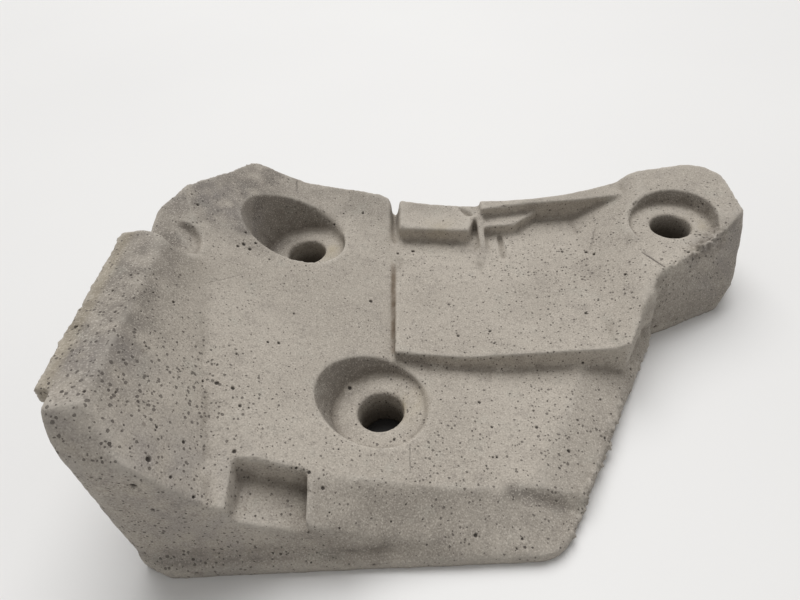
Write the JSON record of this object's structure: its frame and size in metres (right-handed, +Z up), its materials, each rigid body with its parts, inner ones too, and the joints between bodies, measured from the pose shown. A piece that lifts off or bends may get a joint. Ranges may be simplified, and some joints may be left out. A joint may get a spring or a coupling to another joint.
{
  "type": "concrete counterweight",
  "caption": "Cast concrete block with a hollow curved face, stepped rib seats and countersunk bolt bores, bolted to a washing machine's tub as ballast.",
  "frame": {"origin": "middle of the box round the casting, on the flat back it lies on", "axes": "+X along the length towards the narrow arm, +Y from the front wall to the hollowed back edge, +Z up out of the curved face"},
  "size_m": [0.337, 0.236, 0.098],
  "materials": {
    "concrete": "matte, porous, pale grey-beige concrete"
  },
  "bodies": {
    "root": {"counterweight": "concrete"}
  },
  "joints": []
}
